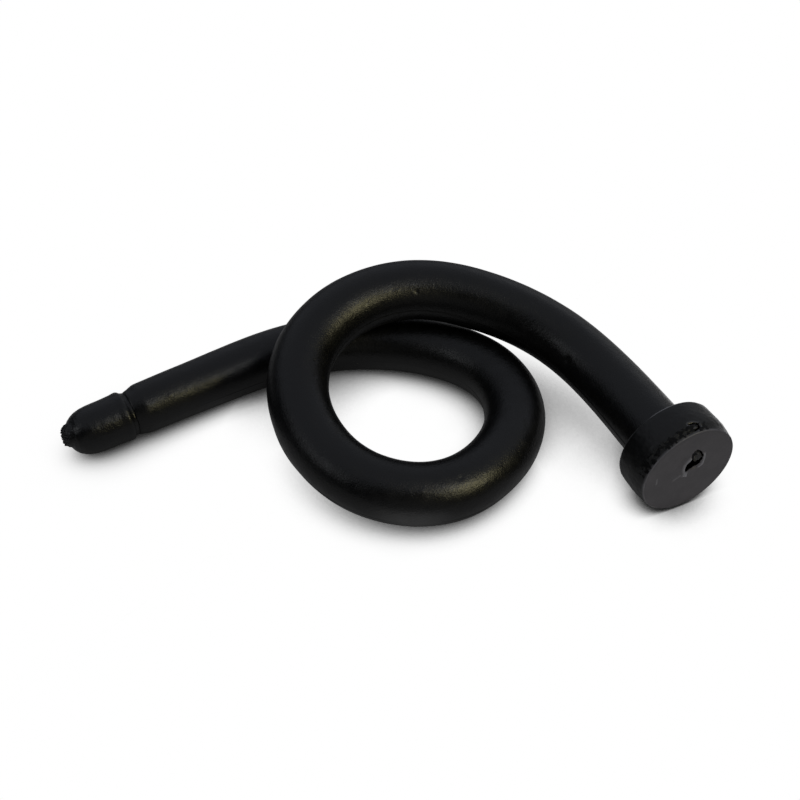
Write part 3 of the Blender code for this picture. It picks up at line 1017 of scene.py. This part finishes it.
def make_world():
    """White behind the object, and a dim studio that its rubber reflects: a soft panel overhead,
    dimmer ones low in front and low behind at the right, and nothing elsewhere."""
    world = bpy.data.worlds.new("studio")
    bpy.context.scene.world = world
    world.use_nodes = True
    tree = world.node_tree
    tree.nodes.clear()
    output = tree.nodes.new("ShaderNodeOutputWorld")
    where = tree.nodes.new("ShaderNodeTexCoord")
    studio = None
    for way, low, high, colour, strength in PANELS:
        aim = tree.nodes.new("ShaderNodeVectorMath")
        aim.operation = "DOT_PRODUCT"
        aim.inputs[1].default_value = Vector(way).normalized()
        tree.links.new(where.outputs["Generated"], aim.inputs[0])
        panel = tree.nodes.new("ShaderNodeBackground")
        panel.inputs["Color"].default_value = (*colour, 1)
        spread = map_range(tree, aim.outputs["Value"], low, high, 0.0, strength)
        tree.links.new(spread, panel.inputs["Strength"])
        if studio:
            both = tree.nodes.new("ShaderNodeAddShader")
            tree.links.new(studio, both.inputs[0])
            tree.links.new(panel.outputs[0], both.inputs[1])
            studio = both.outputs[0]
        else:
            studio = panel.outputs[0]
    backdrop = tree.nodes.new("ShaderNodeBackground")
    backdrop.inputs["Color"].default_value = (1, 1, 1, 1)
    backdrop.inputs["Strength"].default_value = 1.0
    seen = tree.nodes.new("ShaderNodeLightPath")
    mix = tree.nodes.new("ShaderNodeMixShader")
    tree.links.new(seen.outputs["Is Camera Ray"], mix.inputs[0])
    tree.links.new(studio, mix.inputs[1])
    tree.links.new(backdrop.outputs[0], mix.inputs[2])
    tree.links.new(mix.outputs[0], output.inputs[0])


# Soft lights: name, azimuth and elevation in degrees (0 is +X, -90 is the camera's side), distance
# and size in metres, power in watts, and colour.
SOFTBOXES = [
    ("gold_softbox", -31, 35, 0.16, (0.054, 0.036), 0.050, (1.0, 0.91, 0.52)),
    ("upper_softbox", -38, 50, 0.55, (0.14, 0.14), 0.17, (1.0, 1.0, 0.98)),
    ("left_softbox", -152, 34, 0.55, (0.22, 0.16), 0.13, (0.93, 0.96, 1.0)),
]


def area_light(name, azimuth, elevation, distance, size, power, colour):
    """A rectangular soft light that faces the object."""
    light = bpy.data.lights.new(name, "AREA")
    light.shape = "RECTANGLE"
    light.size, light.size_y = size
    light.energy = power
    light.color = colour
    lamp = bpy.data.objects.new(name, light)
    turn, rise = math.radians(azimuth), math.radians(elevation)
    way = Vector((math.cos(rise) * math.cos(turn), math.cos(rise) * math.sin(turn), math.sin(rise)))
    lamp.location = way * distance
    lamp.visible_diffuse = False
    lamp.visible_camera = False
    lamp.rotation_euler = way.to_track_quat("Z", "Y").to_euler()
    bpy.context.scene.collection.objects.link(lamp)


make_floor()
make_world()
for row in SOFTBOXES:
    area_light(*row)

CAMERA_AIM = Vector((1.52, 5.56, 0.0)) * MM
CAMERA_ELEVATION = math.radians(43.7)
CAMERA_DISTANCE = 154 * MM
CAMERA_LENS = 55.125

camera_data = bpy.data.cameras.new("camera")
camera_data.lens = CAMERA_LENS
camera_data.sensor_width = 36.0
camera_data.clip_start = 0.001
camera_data.clip_end = 20.0
camera = bpy.data.objects.new("camera", camera_data)
back = Vector((0.0, -math.cos(CAMERA_ELEVATION), math.sin(CAMERA_ELEVATION)))
camera.location = CAMERA_AIM + back * CAMERA_DISTANCE
camera.rotation_euler = back.to_track_quat("Z", "Y").to_euler()
bpy.context.scene.collection.objects.link(camera)
bpy.context.scene.camera = camera
bpy.context.scene.view_settings.view_transform = "Standard"
